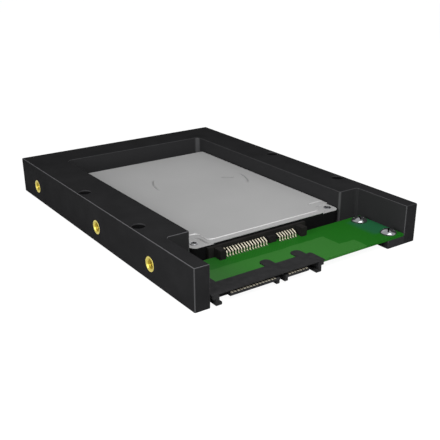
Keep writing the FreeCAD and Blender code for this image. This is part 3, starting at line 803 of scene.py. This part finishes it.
class BRACKET_OT_board(bpy.types.Operator):
    """Finish the circuit board and add its domed screws and solder joints"""

    bl_idname = "bracket.board"
    bl_label = "Board"

    def execute(self, context):
        paint(["circuit_board", "drive_circuit_board"], made_material(board_laminate))
        self.screws()
        self.solder()
        return {"FINISHED"}

    def screws(self):
        """Domed screws on the CAD screws' own axes, with plain shanks."""
        detail = detail_settings()
        touching = 0.01 * MM
        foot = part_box("board_screws")[0].z
        board_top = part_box("circuit_board")[1].z
        mesh = nodes["board_screws"].data
        places = np.zeros(len(mesh.vertices) * 3, np.float32)
        mesh.vertices.foreach_get("co", places)
        places = places.reshape(-1, 3)
        seats = places[np.abs(places[:, 2] - board_top) < touching]
        feet = places[np.abs(places[:, 2] - foot) < touching]
        parts = Parts()
        for number, seat in enumerate(self.clusters(seats)):
            x, y, _ = (seat.min(0) + seat.max(0)) / 2
            radius = (seat[:, 0].max() - seat[:, 0].min()) / 2
            near = feet[np.hypot(feet[:, 0] - x, feet[:, 1] - y) < radius]
            shank = (near[:, 0].max() - near[:, 0].min()) / 2
            domed_head(parts, (x, y, board_top), radius, detail.head_height,
                       arm=0.7 * radius, width=0.085 * radius, depth=0.6 * detail.head_height,
                       turn=math.radians(40 + 23 * number))
            grid, faces = turned([(0.9 * shank, foot), (shank, foot + 0.1 * shank), (shank, board_top)], 32)
            parts.add(grid + (x, y, 0), faces)
        piece = parts.piece("board_screw_heads", made_material(screw_steel), "screw_steel")
        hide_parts("board_screws")

    def clusters(self, points):
        """Groups of points that lie within one screw head of each other."""
        head_width = 8 * MM
        groups = []
        while len(points):
            near = np.hypot(points[:, 0] - points[0, 0], points[:, 1] - points[0, 1]) < head_width
            groups.append(points[near])
            points = points[~near]
        return groups

    def solder(self):
        """Solder at each contact's foot: a low mound whose height follows a power of the distance's cosine."""
        board_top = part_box("circuit_board")[1].z
        reach = np.linspace(1, 0.1, 7)
        rise = (0.02 + 0.1 * np.cos(reach * np.pi / 2) ** 1.2) * MM
        grid, faces = turned([(1, 0), *zip(reach, rise)], 20)
        mound = grid * (0.32 * MM, 0.4 * MM, 1)
        parts = Parts()
        for name, count in RECEPTACLE_CONTACTS:
            low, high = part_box(name)
            for x in contact_row(low, high, count):
                parts.add(mound + (x, low.y - 0.15 * MM, board_top), faces)
        parts.piece("solder_joints", made_material(solder_metal), "contact_gold")


class BRACKET_OT_connectors(bpy.types.Operator):
    """Finish the host plug, the receptacle and their contacts, and make the receptacle's bent contacts"""

    bl_idname = "bracket.connectors"
    bl_label = "Connectors"

    def execute(self, context):
        paint(["host_plug"], made_material(plug_plastic))
        paint(["receptacle", "drive_plug"], made_material(receptacle_plastic))
        contacts = [name for name in nodes if name.endswith("contacts")]
        paint(contacts, made_material(contact_metal))
        for name, count in RECEPTACLE_CONTACTS:
            self.bent_contacts(name, count)
        return {"FINISHED"}

    def bent_contacts(self, name, count):
        """Strips swept along one bent path of (y, z): beam in the drive's plug, slope over the moulding's edge,
        knee and foot. The path is sampled evenly and smoothed by a moving average, and the strip narrows
        outside the moulding: the width follows a smooth step of y."""
        narrow = detail_settings().contact_width
        low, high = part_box(name)
        nose = 6.3 * MM
        half = 0.1 * MM
        bevel = 0.04 * MM
        samples = 90
        window = 5
        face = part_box("receptacle")[1].y - nose
        knee = low.y + 0.5 * MM
        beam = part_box("drive_plug_contacts")[1].z + 0.15 * MM
        corners = np.array([
            (high.y, beam),
            (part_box("drive_base")[0].y, beam),
            (face, high.z - 0.11 * MM),
            (knee, high.z - 1.01 * MM),
            (knee, low.z + half),
            (low.y, low.z + half),
        ])
        along = np.concatenate([[0], np.cumsum(np.hypot(*np.diff(corners, axis=0).T))])
        steps = np.linspace(0, along[-1], samples)
        path = np.stack([np.interp(steps, along, corners[:, axis]) for axis in range(2)], axis=-1)
        padded = np.pad(path, ((window // 2, window // 2), (0, 0)), mode="edge")
        path = sum(padded[index:index + samples] for index in range(window)) / window
        path[0], path[-1] = corners[0], corners[-1]
        run = np.gradient(path, axis=0)
        run /= np.hypot(run[:, 0], run[:, 1])[:, None]
        side = np.stack([-run[:, 1], run[:, 0]], axis=-1)
        inside = smooth_step((path[:, 0] - face) / (0.3 * MM) + 0.5)
        wide = (narrow + (CONTACT_WIDTH - narrow) * inside) / 2
        section = np.array([(-1, -1, 0, 1), (-1, -1, 1, 0), (-1, 1, 1, 0), (-1, 1, 0, 1),
                            (1, 1, 0, 1), (1, 1, 1, 0), (1, -1, 1, 0), (1, -1, 0, 1)], float)
        across = section[None, :, 0] * (wide[:, None] - bevel * section[None, :, 2])
        thick = section[None, :, 1] * (half - bevel * section[None, :, 3])
        y = path[:, 0][:, None] + side[:, 0][:, None] * thick
        z = path[:, 1][:, None] + side[:, 1][:, None] * thick
        faces = tube_faces(samples, len(section))
        parts = Parts()
        for x in contact_row(low, high, count):
            parts.add(np.stack([x + across, y, z], axis=-1), faces)
        piece = parts.piece("bent_" + name, made_material(contact_metal), "contact_gold")
        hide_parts(name)


class BRACKET_OT_drive(bpy.types.Operator):
    """Finish the small drive and add its cover's screws"""

    bl_idname = "bracket.drive"
    bl_label = "Drive"

    def execute(self, context):
        paint(["drive_base"], made_material(casting_black))
        paint(["drive_cover"], made_material(cover_metal))
        paint(["drive_mounting_screws"], made_material(screw_steel))
        self.cover_screws()
        return {"FINISHED"}

    def cover_screws(self):
        """Low screws on the cover's front lugs: a turned profile whose inner rings carry a six-pointed wave,
        one plus a share of the cosine of six times the angle, as the socket."""
        segments = 48
        inset = 3 * MM
        from_front = 4.2 * MM
        low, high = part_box("drive_cover")
        lug = high.z - 0.8 * MM
        radius = detail_settings().cover_screw_radius
        profile = [
            (radius, 0),
            (radius, 0.2 * MM),
            (0.88 * radius, 0.34 * MM),
            (0.72 * radius, 0.34 * MM),
            (0.66 * radius, 0.06 * MM),
            (0.2 * radius, 0.04 * MM),
        ]
        grid, faces = turned(profile, segments)
        star = 1 + 0.13 * np.cos(6 * np.linspace(0, 2 * np.pi, segments, endpoint=False))
        grid[3:5, :, :2] *= star[None, :, None]
        # Share of painted shade for each ring of the profile: the socket's rings are marked.
        recess = np.repeat([0, 0, 0, 0.3, 1, 1], segments)
        parts = Parts()
        for x in (low.x + inset, high.x - inset):
            parts.add(grid + (x, low.y + from_front, lug), faces, recess)
        parts.piece("drive_cover_screws", made_material(screw_steel), "screw_steel")


class BRACKET_OT_stage(bpy.types.Operator):
    """Set up the floor, the lamps, the world and the camera"""

    bl_idname = "bracket.stage"
    bl_label = "Stage"

    def execute(self, context):
        scene = context.scene
        scene.view_settings.view_transform = "Standard"
        self.floor()
        self.world(scene)
        self.lamps(scene)
        self.camera(scene)
        return {"FINISHED"}

    def floor(self):
        """Square floor at height zero."""
        half = stage_settings().floor_size / 2
        mesh = bpy.data.meshes.new("floor")
        corners = [(-half, -half, 0), (half, -half, 0), (half, half, 0), (-half, half, 0)]
        mesh.from_pydata(corners, [], [(0, 1, 2, 3)])
        mesh.materials.append(self.floor_material())
        floor = bpy.data.objects.new("floor", mesh)
        bpy.context.scene.collection.objects.link(floor)

    def floor_material(self):
        """White to the camera and in reflections, with a soft shadow that a little more glow hides far from the
        part, and plain pale diffuse to other light."""
        material = bpy.data.materials.new("pale_floor")
        material.use_nodes = True
        tree = material.node_tree
        tree.nodes.remove(tree.nodes["Principled BSDF"])
        plain = node(tree, "ShaderNodeBsdfDiffuse", Color=(0.8, 0.8, 0.8, 1.0))
        reach = node(tree, "ShaderNodeVectorMath", Vector=object_place(tree))
        reach.operation = "LENGTH"
        brightness = Value(tree, reach.outputs["Value"]).spread(0.12, 0.4, 0.95, 0.99)
        glow = node(tree, "ShaderNodeEmission", Color=WHITE, Strength=brightness)
        shade = node(tree, "ShaderNodeBsdfDiffuse", Color=(0.16, 0.16, 0.16, 1.0))
        both = tree.nodes.new("ShaderNodeAddShader")
        tree.links.new(glow.outputs["Emission"], both.inputs[0])
        tree.links.new(shade.outputs["BSDF"], both.inputs[1])
        show_by_ray(tree, plain.outputs["BSDF"], both.outputs["Shader"], tree.nodes["Material Output"])
        return material

    def world(self, scene):
        """White where it is seen, a plain grey light elsewhere."""
        world = bpy.data.worlds.new("studio")
        scene.world = world
        world.use_nodes = True
        tree = world.node_tree
        lit = tree.nodes["Background"]
        lit.inputs["Color"].default_value = WHITE
        lit.inputs["Strength"].default_value = 0.08
        seen = node(tree, "ShaderNodeBackground", Color=WHITE, Strength=1.0)
        show_by_ray(tree, lit.outputs["Background"], seen.outputs["Background"], tree.nodes["World Output"])

    def lamps(self, scene):
        """Square lamps that face the part's origin, each with its place, side and power."""
        lamps = (
            ("key", (-0.02, -0.26, 0.36), 0.3, 1.38),
            ("left", (-0.42, -0.10, 0.16), 0.25, 0.92),
            ("right", (0.36, 0.10, 0.32), 0.3, 0.1),
            ("back", (0.3, 0.6, 0.4), 0.5, 0.3),
        )
        for name, place, size, power in lamps:
            light = bpy.data.lights.new(name, "AREA")
            light.shape = "SQUARE"
            light.size = size
            light.energy = power
            lamp = bpy.data.objects.new(name, light)
            lamp.location = place
            lamp.rotation_euler = (Vector((0, 0, 0)) - Vector(place)).to_track_quat("-Z", "Y").to_euler()
            scene.collection.objects.link(lamp)

    def camera(self, scene):
        """Camera at the photograph's angle, looking at the target from the given azimuth and elevation."""
        settings = stage_settings()
        data = bpy.data.cameras.new("camera")
        data.sensor_width = 36.0
        data.lens = settings.lens
        data.shift_x = settings.shift[0]
        data.shift_y = settings.shift[1]
        data.clip_start = 0.01
        back = Vector((
            math.sin(settings.azimuth) * math.cos(settings.elevation),
            -math.cos(settings.azimuth) * math.cos(settings.elevation),
            math.sin(settings.elevation),
        ))
        camera = bpy.data.objects.new("camera", data)
        camera.location = Vector(settings.target) + back * settings.distance
        camera.rotation_euler = (-back).to_track_quat("-Z", "Y").to_euler()
        scene.collection.objects.link(camera)
        scene.camera = camera


def show_by_ray(tree, unseen, seen, output):
    """Show one shader to rays from the camera, a reflection or a clear material, another to all the rest."""
    path = node(tree, "ShaderNodeLightPath")
    camera, glossy, clear = [
        Value(tree, path.outputs[name]) for name in ("Is Camera Ray", "Is Glossy Ray", "Is Transmission Ray")]
    mix = node(tree, "ShaderNodeMixShader", Fac=camera.larger(glossy).larger(clear))
    tree.links.new(unseen, mix.inputs[1])
    tree.links.new(seen, mix.inputs[2])
    tree.links.new(mix.outputs["Shader"], output.inputs["Surface"])


OPERATORS = (
    BRACKET_OT_frame,
    BRACKET_OT_inserts,
    BRACKET_OT_board,
    BRACKET_OT_connectors,
    BRACKET_OT_drive,
    BRACKET_OT_stage,
)


class BRACKET_PT_panel(bpy.types.Panel):
    """Buttons and settings of the bracket's dressing"""

    bl_idname = "BRACKET_PT_panel"
    bl_label = "Drive Bracket"
    bl_space_type = "VIEW_3D"
    bl_region_type = "UI"
    bl_category = "Drive Bracket"

    def draw(self, context):
        layout = self.layout
        for operator in OPERATORS:
            layout.operator(operator.bl_idname)
        for group in (finish_settings(), detail_settings(), stage_settings()):
            for name in group.bl_rna.properties.keys():
                if name not in ("rna_type", "name"):
                    layout.prop(group, name)


CLASSES = (BracketFinish, BracketDetail, BracketStage, *OPERATORS, BRACKET_PT_panel)


def register():
    for item in CLASSES:
        bpy.utils.register_class(item)
    bpy.types.Scene.bracket_finish = bpy.props.PointerProperty(type=BracketFinish)
    bpy.types.Scene.bracket_detail = bpy.props.PointerProperty(type=BracketDetail)
    bpy.types.Scene.bracket_stage = bpy.props.PointerProperty(type=BracketStage)


def unregister():
    del bpy.types.Scene.bracket_stage
    del bpy.types.Scene.bracket_detail
    del bpy.types.Scene.bracket_finish
    for item in reversed(CLASSES):
        bpy.utils.unregister_class(item)


def main():
    register()
    bpy.ops.bracket.frame()
    bpy.ops.bracket.inserts()
    bpy.ops.bracket.board()
    bpy.ops.bracket.connectors()
    bpy.ops.bracket.drive()
    bpy.ops.bracket.stage()


if __name__ == "__main__":
    main()
